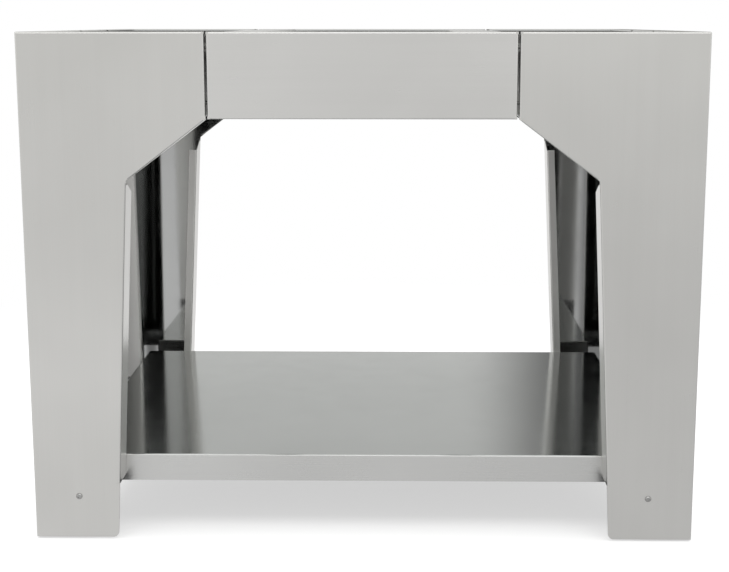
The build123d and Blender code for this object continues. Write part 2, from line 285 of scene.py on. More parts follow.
# %% World
# A zone starts and is full at these shares of an axis of the direction. A third number is the light
# that it adds or takes, and for the strip the share of all the light that it takes.
room_grey = 0.74
overhead_zone, side_zone, upper_zone = (0.55, 0.90, 0.40), (0.55, 0.90, 0.35), (0.20, 0.38, -0.16)
right_light_zone, left_light_zone = (0.0, 0.30, 0.16), (-0.05, -0.35, 0.08)
strip_left_zone, strip_right_zone = (0.05, 0.13, 0.75), (0.27, 0.19)
front_zone, rear_zone = (0.4, 0.8), (0.5, 0.8)

world = bpy.data.worlds.new("studio")
bpy.context.scene.world = world
world.use_nodes = True
sky = world.node_tree
sky.nodes.clear()
seen = sky.nodes.new("ShaderNodeBackground")
seen.inputs["Color"].default_value = (1, 1, 1, 1)
around = sky.nodes.new("ShaderNodeBackground")
around.inputs["Color"].default_value = (1.0, 1.0, 0.985, 1)
x, y, z = three_axes(sky, sky.nodes.new("ShaderNodeTexCoord").outputs["Generated"])
to_front = math_node(sky, "MULTIPLY", y, -1.0)
right_light, left_light = smooth_step(sky, x, *right_light_zone), smooth_step(sky, x, *left_light_zone)
front_lights = math_node(sky, "MULTIPLY", math_node(sky, "ADD", right_light, left_light),
                         smooth_step(sky, to_front, *front_zone))
light = room_grey
for part in (smooth_step(sky, z, *overhead_zone), smooth_step(sky, math_node(sky, "ABSOLUTE", x), *side_zone),
             smooth_step(sky, z, *upper_zone), front_lights):
    light = math_node(sky, "ADD", part, light)
strip = math_node(sky, "MULTIPLY", smooth_step(sky, x, *strip_left_zone),
                  smooth_step(sky, x, *strip_right_zone))
strip = math_node(sky, "MULTIPLY", strip, smooth_step(sky, y, *rear_zone))
shade = math_node(sky, "SUBTRACT", 1.0, strip)
sky.links.new(math_node(sky, "MULTIPLY", light, shade), around.inputs["Strength"])
to_camera = sky.nodes.new("ShaderNodeLightPath").outputs["Is Camera Ray"]
either_shader(sky, to_camera, around, seen, sky.nodes.new("ShaderNodeOutputWorld"))
print("world", room_grey, "bright, and", round(room_grey + overhead_zone[2] + upper_zone[2], 2), "overhead")

# %% Overhead softbox
softbox = bpy.data.lights.new("overhead_softbox", "AREA")
softbox.shape = "SQUARE"
softbox.size = 7.0
softbox.energy = 360
overhead = as_object("overhead_softbox", softbox)
overhead.location = (0, 0, 4.5)
overhead.visible_glossy = False
print("softbox", softbox.size, "m wide,", softbox.energy, "W")


# %% [markdown]
# ## Brushed steel
# A belt grinds fine parallel lines into one side of the sheet before it is folded. The other side
# keeps the smooth finish of the rolling mill, so the stand is satin outside and nearly a mirror
# inside. Noise that is stretched a few hundred times along one axis makes the lines, and slow
# noise makes the faint streaks and smudges that a large sheet has. Broad patches of lighter and
# darker tone are partly the sheet's own uneven tone and partly a painted sheen, which stands in for
# soft reflections. Brushed metal also blurs what it reflects across its lines, so the shader is
# anisotropic. One helper makes every finish.

# %% Helpers for patterns
most_noise = (0.3, 0.7)


def noise(tree, vector, scale, detail, roughness=0.55):
    """A noise value at one scale. Nearly all of it lies in the range of most_noise."""
    node = tree.nodes.new("ShaderNodeTexNoise")
    node.inputs["Scale"].default_value = scale
    node.inputs["Detail"].default_value = detail
    node.inputs["Roughness"].default_value = roughness
    tree.links.new(vector, node.inputs["Vector"])
    return node.outputs["Fac"]


def stretched(tree, vector, axis, across, along):
    """The place, scaled up across the grain and much less along it."""
    node = tree.nodes.new("ShaderNodeMapping")
    node.inputs["Scale"].default_value = [along if axis == letter else across for letter in "xyz"]
    tree.links.new(vector, node.inputs["Vector"])
    return node.outputs[0]


def between(tree, value, low, high):
    """A noise value stretched to run from low to high."""
    scale = tree.nodes.new("ShaderNodeMapRange")
    for label, setting in zip(("From Min", "From Max", "To Min", "To Max"), (*most_noise, low, high)):
        scale.inputs[label].default_value = setting
    tree.links.new(value, scale.inputs["Value"])
    return scale.outputs["Result"]


def tinted(tree, value, colour, spread):
    """A colour that goes a little darker and lighter with a noise value."""
    ramp = tree.nodes.new("ShaderNodeValToRGB")
    for element, place, change in zip(ramp.color_ramp.elements, most_noise, (-spread, spread)):
        element.position = place
        element.color = (*[c + change for c in colour], 1)
    tree.links.new(value, ramp.inputs["Fac"])
    return ramp.outputs["Color"]


def blend_values(tree, kind, share, first, second):
    """Two values or colours mixed by a share. The node keeps sockets for values, vectors and colours."""
    node = tree.nodes.new("ShaderNodeMix")
    node.data_type = kind
    pick = {"FLOAT": 0, "RGBA": 2}[kind]
    tree.links.new(share, node.inputs["Factor"])
    tree.links.new(first, [i for i in node.inputs if i.name == "A"][pick])
    tree.links.new(second, [i for i in node.inputs if i.name == "B"][pick])
    return [o for o in node.outputs if o.name == "Result"][pick]


# %% [markdown]
# ## Which side of the sheet shows
# One mesh carries both sides of a sheet, so the finish has to tell them apart. Two materials on
# chosen faces would do, but these meshes stay as they are, so a mask finds the satin side from the
# place of each point. On the band it lies on the stand's outer planes. On a leg the flanges along
# the open edge and their lips are satin too, and they follow the leg's tapered outline. On the shelf
# only the folded edges are satin.

# %% Masks for the satin side
# The sizes are those of the folded parts. The skin is a little less than half a sheet thick.
skin = 0.0007
foot_width, knee_width, head_width = 0.135, 0.165, 0.292
leg_gap, knee_height, band_bottom = 0.003, 0.590, 0.686
taper = (knee_width - foot_width) / (knee_height - leg_gap)
brace_slope = (head_width - knee_width) / (band_bottom - knee_height)
lip_depth, lip_width = 0.050, 0.0165
shelf_half_x, shelf_half_y = 0.485, 0.350


def how_far_in(tree, place, half_width, half_depth):
    """How far a point lies behind the side planes and behind the front and rear planes, and its height."""
    x, y, z = three_axes(tree, place)
    from_side = math_node(tree, "SUBTRACT", half_width, math_node(tree, "ABSOLUTE", x))
    from_front = math_node(tree, "SUBTRACT", half_depth, math_node(tree, "ABSOLUTE", y))
    return from_side, from_front, z


def least(tree, *values):
    """The smallest of some values."""
    smallest = values[0]
    for value in values[1:]:
        smallest = math_node(tree, "MINIMUM", smallest, value)
    return smallest


def band_satin(tree, place):
    """1 on the outer planes of the band."""
    from_side, from_front, height = how_far_in(tree, place, half_x, half_y)
    from_top = math_node(tree, "SUBTRACT", top, height)
    from_bottom = math_node(tree, "SUBTRACT", height, band_bottom)
    return math_node(tree, "LESS_THAN", least(tree, from_side, from_front, from_top, from_bottom), skin)


def leg_satin(tree, place):
    """1 on a leg's outer planes, on the outer side of its flanges and on their lips."""
    from_side, from_front, height = how_far_in(tree, place, half_x, half_y)
    from_top = math_node(tree, "SUBTRACT", top, height)
    wing = math_node(tree, "MULTIPLY_ADD", height, taper, foot_width - leg_gap * taper)
    above_knee = math_node(tree, "SUBTRACT", height, knee_height)
    brace = math_node(tree, "MULTIPLY_ADD", above_knee, brace_slope, knee_width)
    outline = least(tree, math_node(tree, "MAXIMUM", wing, brace), head_width)
    from_edge = math_node(tree, "SUBTRACT", outline, math_node(tree, "MAXIMUM", from_side, from_front))
    outside = math_node(tree, "LESS_THAN", least(tree, from_side, from_front, from_top, from_edge), skin)
    at_lip_depth = math_node(tree, "COMPARE", least(tree, from_side, from_front), lip_depth, skin)
    on_lip = math_node(tree, "MULTIPLY", at_lip_depth, math_node(tree, "LESS_THAN", from_edge, lip_width))
    return math_node(tree, "MAXIMUM", outside, on_lip)


def shelf_satin(tree, place):
    """1 on the shelf's folded edges."""
    from_side, from_front, _ = how_far_in(tree, place, shelf_half_x, shelf_half_y)
    return math_node(tree, "LESS_THAN", least(tree, from_side, from_front), skin)


print("a wing widens by", round(taper, 4), "and a brace by", round(brace_slope, 3), "of its height")

# %% Helper for sheet steel
# Scales are given across the grain and along it.
line_scales, streak_scales = (1500.0, 2.5), (55.0, 1.6)
# The broad slow patches of tone are partly the sheet's own and partly a painted sheen.
tone_and_sheen_scale, smudge_scale = 2.6, 16.0
line_share, streak_share, tone_and_sheen_share = 0.15, 0.13, 0.72
satin_spread, mill_spread = 0.045, 0.02
line_height = 0.0001


def steel_sheet(name, grain, mask, satin, mill, blur_direction, blur=0.3, line_depth=0.012):
    """Stainless sheet: satin where the mask is 1 and smooth as rolled elsewhere, or satin all over.

    Satin and mill are a colour with its least and its most roughness.
    """
    material, tree, shader = new_material(name)
    place = object_place(tree)
    lines = noise(tree, stretched(tree, place, grain, *line_scales), scale=1.0, detail=2.0, roughness=0.5)
    streaks = noise(tree, stretched(tree, place, grain, *streak_scales), scale=1.0, detail=3.0)
    # Broad slow patches in the colour: the sheet's own uneven tone, and also a painted sheen.
    tone_and_sheen_clouds = noise(tree, place, tone_and_sheen_scale, detail=3.0)
    smudges = noise(tree, place, smudge_scale, detail=4.0, roughness=0.6)
    tone = math_node(tree, "MULTIPLY", streaks, streak_share)
    tone = math_node(tree, "MULTIPLY_ADD", lines, line_share, tone)
    tone = math_node(tree, "MULTIPLY_ADD", tone_and_sheen_clouds, tone_and_sheen_share, tone)
    uneven = math_node(tree, "MULTIPLY_ADD", lines, 0.5, math_node(tree, "MULTIPLY", smudges, 0.5))
    colour, rough = tinted(tree, tone, satin[0], satin_spread), between(tree, uneven, *satin[1])

    bump = tree.nodes.new("ShaderNodeBump")
    bump.inputs["Distance"].default_value = line_height
    bump.inputs["Strength"].default_value = line_depth
    if mask:
        outside = mask(tree, place)
        # The mill side takes the same broad patches, which are partly a painted sheen.
        colour = blend_values(tree, "RGBA", outside, tinted(tree, tone_and_sheen_clouds, mill[0], mill_spread), colour)
        rough = blend_values(tree, "FLOAT", outside, between(tree, smudges, *mill[1]), rough)
        tree.links.new(math_node(tree, "MULTIPLY", outside, line_depth), bump.inputs["Strength"])
    tree.links.new(lines, bump.inputs["Height"])
    blur_along = tree.nodes.new("ShaderNodeCombineXYZ")
    for socket, value in zip(blur_along.inputs, blur_direction):
        socket.default_value = value
    for result, label in ((colour, "Base Color"), (rough, "Roughness"), (bump.outputs["Normal"], "Normal"),
                          (blur_along.outputs[0], "Tangent")):
        tree.links.new(result, shader.inputs[label])
    shader.inputs["Anisotropic"].default_value = blur
    shader.inputs["Metallic"].default_value = 1.0
    return material


# %% The five sheet finishes
# The first three are the directions in which a finish blurs what it reflects.
level, upright, deep = (1, 1, 0), (0, 0, 1), (0, 1, 0)
leg_look = ((0.695, 0.69, 0.67), (0.27, 0.33))
band_look = ((0.72, 0.715, 0.70), (0.27, 0.30))
edge_look = ((0.66, 0.66, 0.65), (0.26, 0.31))
shelf_look = ((0.57, 0.585, 0.575), (0.12, 0.17))
inner_look = ((0.70, 0.70, 0.69), (0.24, 0.34))
mill_look = ((0.48, 0.485, 0.48), (0.04, 0.08))
leg_steel = steel_sheet("leg_steel", "z", leg_satin, leg_look, mill_look, level, line_depth=0.05)
band_steel = steel_sheet("band_steel", "x", band_satin, band_look, mill_look, upright)
side_steel = steel_sheet("side_band_steel", "y", band_satin, band_look, mill_look, upright)
shelf_steel = steel_sheet("shelf_steel", "x", shelf_satin, edge_look, shelf_look, deep, blur=0.75)
inner_steel = steel_sheet("inner_steel", "y", None, inner_look, None, level, line_depth=0.04)
print("finishes", [m.name for m in (leg_steel, band_steel, side_steel, shelf_steel, inner_steel)])


# %% Give the sheet parts their finish
def dress(node, material):
    """Puts one finish on a CAD node."""
    mesh = nodes[node].data
    mesh.materials.clear()
    mesh.materials.append(material)


for corner in corner_names:
    dress("leg_" + corner, leg_steel)
    dress("foot_bracket_" + corner, inner_steel)
for side in ("front", "rear"):
    dress("fascia_" + side, band_steel)
for side in ("right", "left"):
    dress("fascia_" + side, side_steel)
for name in ("bearer_left", "bearer_right", "shelf_stiffener_front", "shelf_stiffener_rear"):
    dress(name, inner_steel)
dress("shelf_tray", shelf_steel)
print("a leg has", len(nodes["leg_front_left"].data.polygons), "faces")


# %% [markdown]
# ## Finishes of bought parts
# Screws and nuts are turned or forged, so their finish has no grain, only a slightly uneven gloss.
# The pads under the feet are black moulded rubber. All three are fine noise on one colour.

# %% Fastener steel and rubber
def speckled(name, colour, spread, gloss, metallic, scale, detail):
    """A finish without grain: fine speckles in the colour and in the gloss."""
    material, tree, shader = new_material(name)
    speckle = noise(tree, object_place(tree), scale, detail)
    tree.links.new(tinted(tree, speckle, colour, spread), shader.inputs["Base Color"])
    tree.links.new(between(tree, speckle, *gloss), shader.inputs["Roughness"])
    shader.inputs["Metallic"].default_value = metallic
    return material


steel_speckle, rubber_speckle = (700.0, 3.0), (450.0, 4.0)
fastener_steel = speckled("fastener_steel", (0.56, 0.56, 0.55), 0.05, (0.12, 0.22), 1.0, *steel_speckle)
screw_steel = speckled("screw_steel", (0.40, 0.40, 0.395), 0.04, (0.08, 0.16), 1.0, *steel_speckle)
rubber = speckled("pad_rubber", (0.028, 0.028, 0.028), 0.012, (0.62, 0.80), 0.0, *rubber_speckle)

fastener_nodes = [n for n in nodes if n.endswith(("bolts", "nuts", "screws", "spacers"))]
for name in fastener_nodes:
    dress(name, fastener_steel)
for corner in corner_names:
    dress("foot_stud_" + corner, fastener_steel)
    dress("foot_pad_" + corner, rubber)
print("fastener nodes", sorted(fastener_nodes))

# %% [markdown]
# ## Shapes that are turned or forged
# A screw head, a nut, a threaded rod and a rubber foot are all stacks of rings: each ring has its own
# radius and height, and a hexagon or a thread is a ring whose radius changes with the angle. They
# could be modelled with booleans, but rings give clean faces and an exact chamfer, so one helper
# builds them all. A thread is a ring stack too: its crest moves round as the height grows.

# %% Helpers for rings, in millimetres
chamfer_share, chamfer_slope = 0.475, math.tan(math.radians(30))
thread_depth_share, rings_per_turn = 0.54, 4


def round_ring(radius, height):
    """A plain ring: the same radius all the way round."""
    return lambda angle: (radius, height)


def round_rings(outline):
    """Plain rings for an outline: a radius and a height for each of its points."""
    return [round_ring(radius, height) for radius, height in outline]


def hex_ring(across, height, dip_from=None, dip=0.0):
    """A hexagon, whose corners may dip as a chamfer cuts them."""
    def at(angle):
        radius = across / 2 / math.cos(angle % math.radians(60) - math.radians(30))
        change = 0.0 if dip_from is None else max(0.0, radius - dip_from) * dip
        return radius, height + change
    return at


def hexagon(across, low, high):
    """Rings of a hexagon with the corners of both faces chamfered."""
    face = chamfer_share * across
    return [round_ring(face, low), hex_ring(across, low, face, chamfer_slope),
            hex_ring(across, high, face, -chamfer_slope), round_ring(face, high)]


def thread_rings(radius, start, end, pitch):
    """Rings whose crest moves round once for each pitch of height."""
    depth = thread_depth_share * pitch
    steps = round((end - start) / pitch * rings_per_turn)
    rings = []
    for step in range(steps + 1):
        height = start + (end - start) * step / steps
        fade = min(1.0, (height - start) / pitch, (end - height) / pitch)

        def at(angle, height=height, fade=fade):
            phase = (height / pitch - angle / math.tau) % 1.0
            wave = abs(phase - 0.5) * 2
            return radius - depth * (1 - fade + fade * wave), height
        rings.append(at)
    return rings


print("a thread of 1.5 mm pitch is", round(thread_depth_share * 1.5, 2), "mm deep")

# %% Helpers for solids
mm_in_a_metre = 1000
sharp_angle = math.radians(32)


def closed_mesh(name, shape):
    """Ends a bmesh: turns its faces outwards and keeps it as a mesh."""
    bmesh.ops.recalc_face_normals(shape, faces=shape.faces)
    mesh = bpy.data.meshes.new(name)
    shape.to_mesh(mesh)
    shape.free()
    return mesh


def bridge(shape, first, second):
    """Faces between two outlines with as many points."""
    for at in range(len(first)):
        following = (at + 1) % len(first)
        shape.faces.new((first[at], first[following], second[following], second[at]))


def ring_stack(name, rings, sides=24, closed=False):
    """A solid made of rings. Its ends are capped unless it closes on itself."""
    shape = bmesh.new()
    rows = []
    for ring in rings:
        row = []
        for side in range(sides):
            angle = math.tau * side / sides
            radius, height = ring(angle)
            spot = (radius * math.cos(angle), radius * math.sin(angle), height)
            row.append(shape.verts.new([v / mm_in_a_metre for v in spot]))
        rows.append(row)
    for row, following in zip(rows, rows[1:]):
        bridge(shape, row, following)
    if closed:
        bridge(shape, rows[-1], rows[0])
    else:
        shape.faces.new(rows[0])
        shape.faces.new(rows[-1])
    mesh = closed_mesh(name, shape)
    mesh.shade_smooth()
    mesh.set_sharp_from_angle(angle=sharp_angle)
    return as_object(name, mesh)


# %% Shapes of the fasteners
# The shares follow the flat of a bolt's head and the radius and height of a screw's dome.
bore_chamfer, end_chamfer, head_chamfer = 0.4, 0.5, 0.1
thread_start, thread_pitch, thread_point = 0.3, 1.0, 0.7
socket_point, socket_depth, socket_edge = 2.0, 1.7, 0.15
point_share, socket_rim_share = 0.1, 0.5
dish_shares = ((0.6, 0.25), (0.75, 0.0))
dome_shares = ((1.0, 0.0), (1.0, 0.16), (0.97, 0.32), (0.88, 0.55), (0.76, 0.76), (0.62, 0.92), (0.52, 1.0))


def hex_nut(across, height, bore):
    """A nut with its corners chamfered on both faces."""
    mouth = bore + bore_chamfer
    rings = round_rings([(mouth, 0)]) + hexagon(across, 0, height)
    rings += round_rings([(mouth, height), (bore, height - bore_chamfer), (bore, bore_chamfer)])
    return ring_stack("nut", rings, closed=True)


def hex_bolt(across, head, radius, length):
    """A bolt with a dished hexagon head and a threaded shank."""
    face = chamfer_share * across
    rings = round_rings([(share * face, depth) for share, depth in dish_shares])
    rings += [round_ring(face, 0), hex_ring(across, 0, face, chamfer_slope),
              hex_ring(across, head - head_chamfer), round_ring(face, head), round_ring(radius, head)]
    rings += thread_rings(radius, head + thread_start, length - end_chamfer, thread_pitch)
    return ring_stack("bolt", rings + [round_ring(radius - thread_point, length)])


def button_screw(radius, head, socket, shank, length):
    """A screw with a domed head and a hexagon socket."""
    rings = [hex_ring(point_share * socket, socket_point), hex_ring(socket, socket_depth),
             hex_ring(socket, socket_edge), round_ring(socket_rim_share * radius, 0)]
    rings += round_rings([(share * radius, head * (1 - rise)) for share, rise in reversed(dome_shares)])
    rings += round_rings([(shank, head), (shank, length - end_chamfer), (shank - end_chamfer, length)])
    return ring_stack("screw", rings)


print("a hexagon of 10 mm keeps a flat of", 2 * chamfer_share * 10, "mm on each face")


# %% [markdown]
# ## Where the fasteners go
# Sixteen bolts hold the band's joints, and each one already has its place in the CAD model. So the
# scene reads the places from there: each loose part of a CAD node has a box, whose longest or
# shortest side tells which way the fastener points. Then one Geometry Nodes tree puts a copy of the
# detailed shape at every place. Copying by hand would work for one screw, but the tree keeps all of
# them alike, and a change of the shape changes them all.

# %% Find the places in the CAD model
def loose_parts(node):
    """The vertex places of each loose part of a CAD node."""
    merged = bmesh.new()
    merged.from_mesh(nodes[node].data)
    bmesh.ops.remove_doubles(merged, verts=merged.verts, dist=1e-6)
    merged.verts.ensure_lookup_table()
    seen, parts = set(), []
    for start in merged.verts:
        if start in seen:
            continue
        seen.add(start)
        waiting, part = [start], []
        while waiting:
            vertex = waiting.pop()
            part.append(vertex.co.copy())
            for edge in vertex.link_edges:
                other = edge.other_vert(vertex)
                if other not in seen:
                    seen.add(other)
                    waiting.append(other)
        parts.append(part)
    merged.free()
    return parts


def box_of(points):
    """The lowest and the highest corner of the box round some points."""
    return [Vector([pick(v[i] for v in points) for i in range(3)]) for pick in (min, max)]


def unit(axis):
    """A vector of length 1 along X, Y or Z."""
    return Vector([float(i == axis) for i in range(3)])


def fastener_places(node, pick):
    """For each fastener: the middle of its outer end, and its turn.

    Pick says which side of its box is its length: the longest, max, or the shortest, min.
    """
    near_end, far_end, same_width = 0.4, 0.6, 1e-5
    found = []
    for part in loose_parts(node):
        low, high = box_of(part)
        size, middle = high - low, (low + high) / 2
        along = pick(range(3), key=lambda i: size[i])
        corners = max((i for i in range(3) if i != along), key=lambda i: size[i])

        straight = unit(along)
        reach = []
        for v in part:
            out = v - middle
            reach.append((abs(v[along] - low[along]), (out - out.dot(straight) * straight).length))
        near_width = max(width for height, width in reach if height < near_end * size[along])
        far_width = max(width for height, width in reach if height > far_end * size[along])
        sign = 1 if near_width > far_width - same_width else -1
        spot = middle.copy()
        spot[along] = low[along] if sign > 0 else high[along]
        points_to, corner = sign * straight, unit(corners)
        turn = Matrix((corner, points_to.cross(corner), points_to)).transposed().to_euler()
        found.append((spot, turn))
    return found


print("bolts in the band's joints", len(loose_parts("band_bolts")))


# %% A tree that puts copies at places
def new_tree(name, inputs):
    """A Geometry Nodes tree with named inputs and one geometry output."""
    tree = bpy.data.node_groups.new(name, "GeometryNodeTree")
    tree.interface.new_socket("Geometry", in_out="INPUT", socket_type="NodeSocketGeometry")
    sockets = {}
    for label, kind in inputs.items():
        sockets[label] = tree.interface.new_socket(label, in_out="INPUT", socket_type="NodeSocket" + kind)
    tree.interface.new_socket("Geometry", in_out="OUTPUT", socket_type="NodeSocketGeometry")
    return tree, sockets, tree.nodes.new("NodeGroupInput"), tree.nodes.new("NodeGroupOutput")


def shape_on_points(tree, given, points):
    """A node that puts the shape that the tree is given on each point."""
    shape = tree.nodes.new("GeometryNodeObjectInfo")
    put = tree.nodes.new("GeometryNodeInstanceOnPoints")
    tree.links.new(given.outputs["Shape"], shape.inputs["Object"])
    tree.links.new(points, put.inputs["Points"])
    tree.links.new(shape.outputs["Geometry"], put.inputs["Instance"])
    return put


def realized(tree, instances, given, output):
    """Ends a tree: instances become real faces and get their finish."""
    real = tree.nodes.new("GeometryNodeRealizeInstances")
    finish = tree.nodes.new("GeometryNodeSetMaterial")
    tree.links.new(instances, real.inputs["Geometry"])
    tree.links.new(real.outputs["Geometry"], finish.inputs["Geometry"])
    tree.links.new(given.outputs["Finish"], finish.inputs["Material"])
    tree.links.new(finish.outputs["Geometry"], output.inputs["Geometry"])


copies, copy_sockets, given, output = new_tree("copies_at_places", {"Shape": "Object", "Size": "Float",
                                                                    "Finish": "Material"})
turn = copies.nodes.new("GeometryNodeInputNamedAttribute")
turn.data_type = "FLOAT_VECTOR"
turn.inputs["Name"].default_value = "turn"
as_rotation = copies.nodes.new("FunctionNodeEulerToRotation")
put_copies = shape_on_points(copies, given, given.outputs["Geometry"])
copies.links.new(turn.outputs["Attribute"], as_rotation.inputs[0])
copies.links.new(as_rotation.outputs[0], put_copies.inputs["Rotation"])
copies.links.new(given.outputs["Size"], put_copies.inputs["Scale"])
realized(copies, put_copies.outputs["Instances"], given, output)
print("tree", copies.name, "with inputs", list(copy_sockets))


# %% Run a tree and keep its mesh
def run_tree(name, source, tree, sockets, values):
    """Applies a tree to a source object and returns the result as a plain object."""
    modifier = source.modifiers.new(tree.name, "NODES")
    modifier.node_group = tree
    for label, value in values.items():
        modifier[sockets[label].identifier] = value
    evaluated = source.evaluated_get(bpy.context.evaluated_depsgraph_get())
    mesh = bpy.data.meshes.new_from_object(evaluated)
    source.modifiers.remove(modifier)
    bpy.data.objects.remove(source)
    bpy.data.objects.remove(values["Shape"])
    mesh.name = name
    return as_object(name, mesh)


def copies_of(name, shape, places, finish):
    """One mesh with a copy of the shape at each place."""
    mesh = bpy.data.meshes.new(name + "_places")
    mesh.from_pydata([spot for spot, _ in places], [], [])
    turns = mesh.attributes.new("turn", "FLOAT_VECTOR", "POINT")
    for slot, (_, turn) in zip(turns.data, places):
        slot.vector = turn
    source = as_object(name + "_places", mesh)
    return run_tree(name, source, copies, copy_sockets, {"Shape": shape, "Size": 1.0, "Finish": finish})


def finish_piece(piece, body, slot, *replaced):
    """Says which body a piece rides on and hides the CAD nodes it stands for. Its slot is not used."""
    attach(piece, body)
    if replaced:
        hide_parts(*replaced)
    print(piece.name, len(piece.data.polygons), "faces")


# %% Screws, bolts and nuts
bolt_lengths = {"band": 16.5, "shelf": 13.5, "bearer": 13.5}
big_nut_heights = {"foot_weld_nuts": 8.0, "foot_lock_nuts": 5.0}
for place, length in bolt_lengths.items():
    bolt = hex_bolt(across=10.0, head=4.0, radius=3.0, length=length)
    bolts = copies_of(place + "_hex_bolts", bolt, fastener_places(place + "_bolts", max), fastener_steel)
    finish_piece(bolts, "frame", "fastener_steel", place + "_bolts")
for place in ("band", "shelf", "bearer", "bracket"):
    nut = hex_nut(across=10.0, height=5.0, bore=3.05)
    nuts = copies_of(place + "_hex_nuts", nut, fastener_places(place + "_nuts", min), fastener_steel)
    finish_piece(nuts, "frame", "fastener_steel", place + "_nuts")
for node, height in big_nut_heights.items():
    nut = hex_nut(across=17.0, height=height, bore=5.05)
    nuts = copies_of(node + "_detailed", nut, fastener_places(node, min), fastener_steel)
    finish_piece(nuts, "frame", "fastener_steel", node)
screw = button_screw(radius=5.25, head=3.3, socket=4.0, shank=3.0, length=13.8)
screws = copies_of("button_screws", screw, fastener_places("bracket_screws", max), screw_steel)
finish_piece(screws, "frame", "fastener_steel", "bracket_screws")

# %% [markdown]
# ## Levelling feet
# Each leg hides a foot: a threaded rod with a hexagon to turn it by, and a rubber pad on its end. The
# rod is a ring stack with a thread. The pad is a ring stack with ribs, which a second run of the same
# tree sets round its hub. Rod and pad are separate pieces, because they move on separate bodies.

# %% Outlines of the rod, the pad and its ribs
# Each point is a radius and a height in millimetres.
hexagon_low, hexagon_high = 14.7, 22.7
neck_outline = [(3.2, 4.3), (4.0, 5.1), (4.0, hexagon_low)]
rod_rings = round_rings(neck_outline) + hexagon(14.0, hexagon_low, hexagon_high)
rod_rings += round_rings([(4.4, hexagon_high)]) + thread_rings(radius=5.0, start=22.9, end=67.9, pitch=1.5)
rod_rings += round_rings([(4.0, 68.7)])
pad_outline = [(15.5, 0.9), (16.2, 0.0), (19.3, 0.0), (20.0, 0.7), (20.0, 5.3), (19.4, 6.1), (18.3, 7.0),
               (10.4, 12.0), (9.4, 12.9), (8.9, 13.0), (4.6, 13.0), (4.05, 12.5), (4.05, 4.0)]
rib_outline = [(9.6, 12.2), (17.6, 7.1), (18.6, 7.0), (18.2, 7.7), (10.2, 12.9)]
rib_count, rib_half_width = 20, 0.6
print("rod", len(rod_rings), "rings, pad", len(pad_outline), "rings")


# %% Threaded rods and rubber pads
def block(shape, first, second):
    """Adds a solid between two outlines to a mesh."""
    first, second = ([shape.verts.new(spot) for spot in outline] for outline in (first, second))
    shape.faces.new(first)
    shape.faces.new(second)
    bridge(shape, first, second)


def rib_shape():
    """One rib of the pad, along the slope from the hub to the rim."""
    shape = bmesh.new()
    block(shape, *([[v / mm_in_a_metre for v in (x, y, z)] for x, z in rib_outline]
                   for y in (-rib_half_width, rib_half_width)))
    return as_object("rib", closed_mesh("rib", shape))


def turned(share):
    """A share of a full turn about the upright axis."""
    return Matrix.Rotation(math.tau * share, 3, "Z").to_euler()


unturned = turned(0)
for corner in corner_names:
    low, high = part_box("foot_stud_" + corner)
    axis = Vector(((low.x + high.x) / 2, (low.y + high.y) / 2, 0))
    rod = ring_stack("rod", rod_rings)
    rod = copies_of("threaded_rod_" + corner, rod, [(axis, unturned)], fastener_steel)
    finish_piece(rod, "stud_" + corner, "fastener_steel", "foot_stud_" + corner)

    pad = ring_stack("pad", round_rings(pad_outline), sides=48)
    pad = copies_of("rubber_pad_" + corner, pad, [(axis, unturned)], rubber)
    finish_piece(pad, "pad_" + corner, "pad_rubber", "foot_pad_" + corner)
    rib_places = [(axis, turned(rib / rib_count)) for rib in range(rib_count)]
    ribs = copies_of("pad_ribs_" + corner, rib_shape(), rib_places, rubber)
    finish_piece(ribs, "pad_" + corner, "pad_rubber")

# %% [markdown]
# ## Ground corners
# Where two folds of a panel meet, the flat blank has a small relief cut, so that the folds don't
# tear. On the stand the cuts in view are filled with weld and ground flush. Each fill is a short
# block whose outline follows the two edges. It lies two hundredths of a millimetre under the faces
# beside it, so that the two never fight for the same plane.

# %% Outlines of the fills
relief, fold_zone = 0.0041, 0.0061
joint_depth, sheet_depth = 0.0045, 0.0014
band_gap, flange_start = 0.003, 0.090
almost_square = 0.01
band_start = head_width + band_gap


def fill_outline(corner, first, second, concave):
    """Outline of a fill, from the corner and the directions of its two edges."""
    corner, first, second = Vector(corner), Vector(first).normalized(), Vector(second).normalized()
    sign = -1 if concave else 1
    square = abs(first.dot(second)) < almost_square
    inward_first = sign * (second - first * first.dot(second)).normalized()
    inward_second = sign * (first - second * first.dot(second)).normalized()
    depth = relief if square else fold_zone
    inner = corner + (inward_first + inward_second) * depth / (1 + inward_first.dot(inward_second))
    outline = [corner, corner + first * relief]
    if not square:
        outline.append(corner + first * relief + inward_first * depth)
    outline.append(inner)
    if not square:
        outline.append(corner + second * relief + inward_second * depth)
    return outline + [corner + second * relief]


def wing_edge(height):
    """How far the open edge of a wing lies from the corner of the stand."""
    return foot_width + (height - leg_gap) * taper


down_leg = (foot_width - knee_width, leg_gap - knee_height)
up_brace = (head_width - knee_width, band_bottom - knee_height)
down_brace = (-up_brace[0], -up_brace[1])
flange_end = flange_start + relief
slit = [(wing_edge(flange_start), flange_start), (wing_edge(flange_end), flange_end),
        (wing_edge(flange_end) - fold_zone, flange_end), (wing_edge(flange_start) - fold_zone, flange_start)]
fills = [(fill_outline((head_width, top), (0, -1), (-1, 0), False), joint_depth),
         (fill_outline((head_width, band_bottom), (0, 1), down_brace, False), joint_depth),
         (fill_outline((knee_width, knee_height), down_leg, up_brace, True), sheet_depth),
         (fill_outline((band_start, top), (0, -1), (1, 0), False), joint_depth),
         (fill_outline((band_start, band_bottom), (0, 1), (1, 0), False), joint_depth),
         (slit, sheet_depth)]
print("fills on each wing", len(fills))

# %% Fills for the relief cuts
flush = 0.00002


def on_stand(outline, back, side_x, side_y, along_x):
    """Puts an outline on the front or on a side of one corner of the stand, a little way behind its face."""
    for across, height in outline:
        height = min(height, top - flush)
        if along_x:
            yield side_x * (half_x - across), side_y * (half_y - back), height
        else:
            yield side_x * (half_x - back), side_y * (half_y - across), height


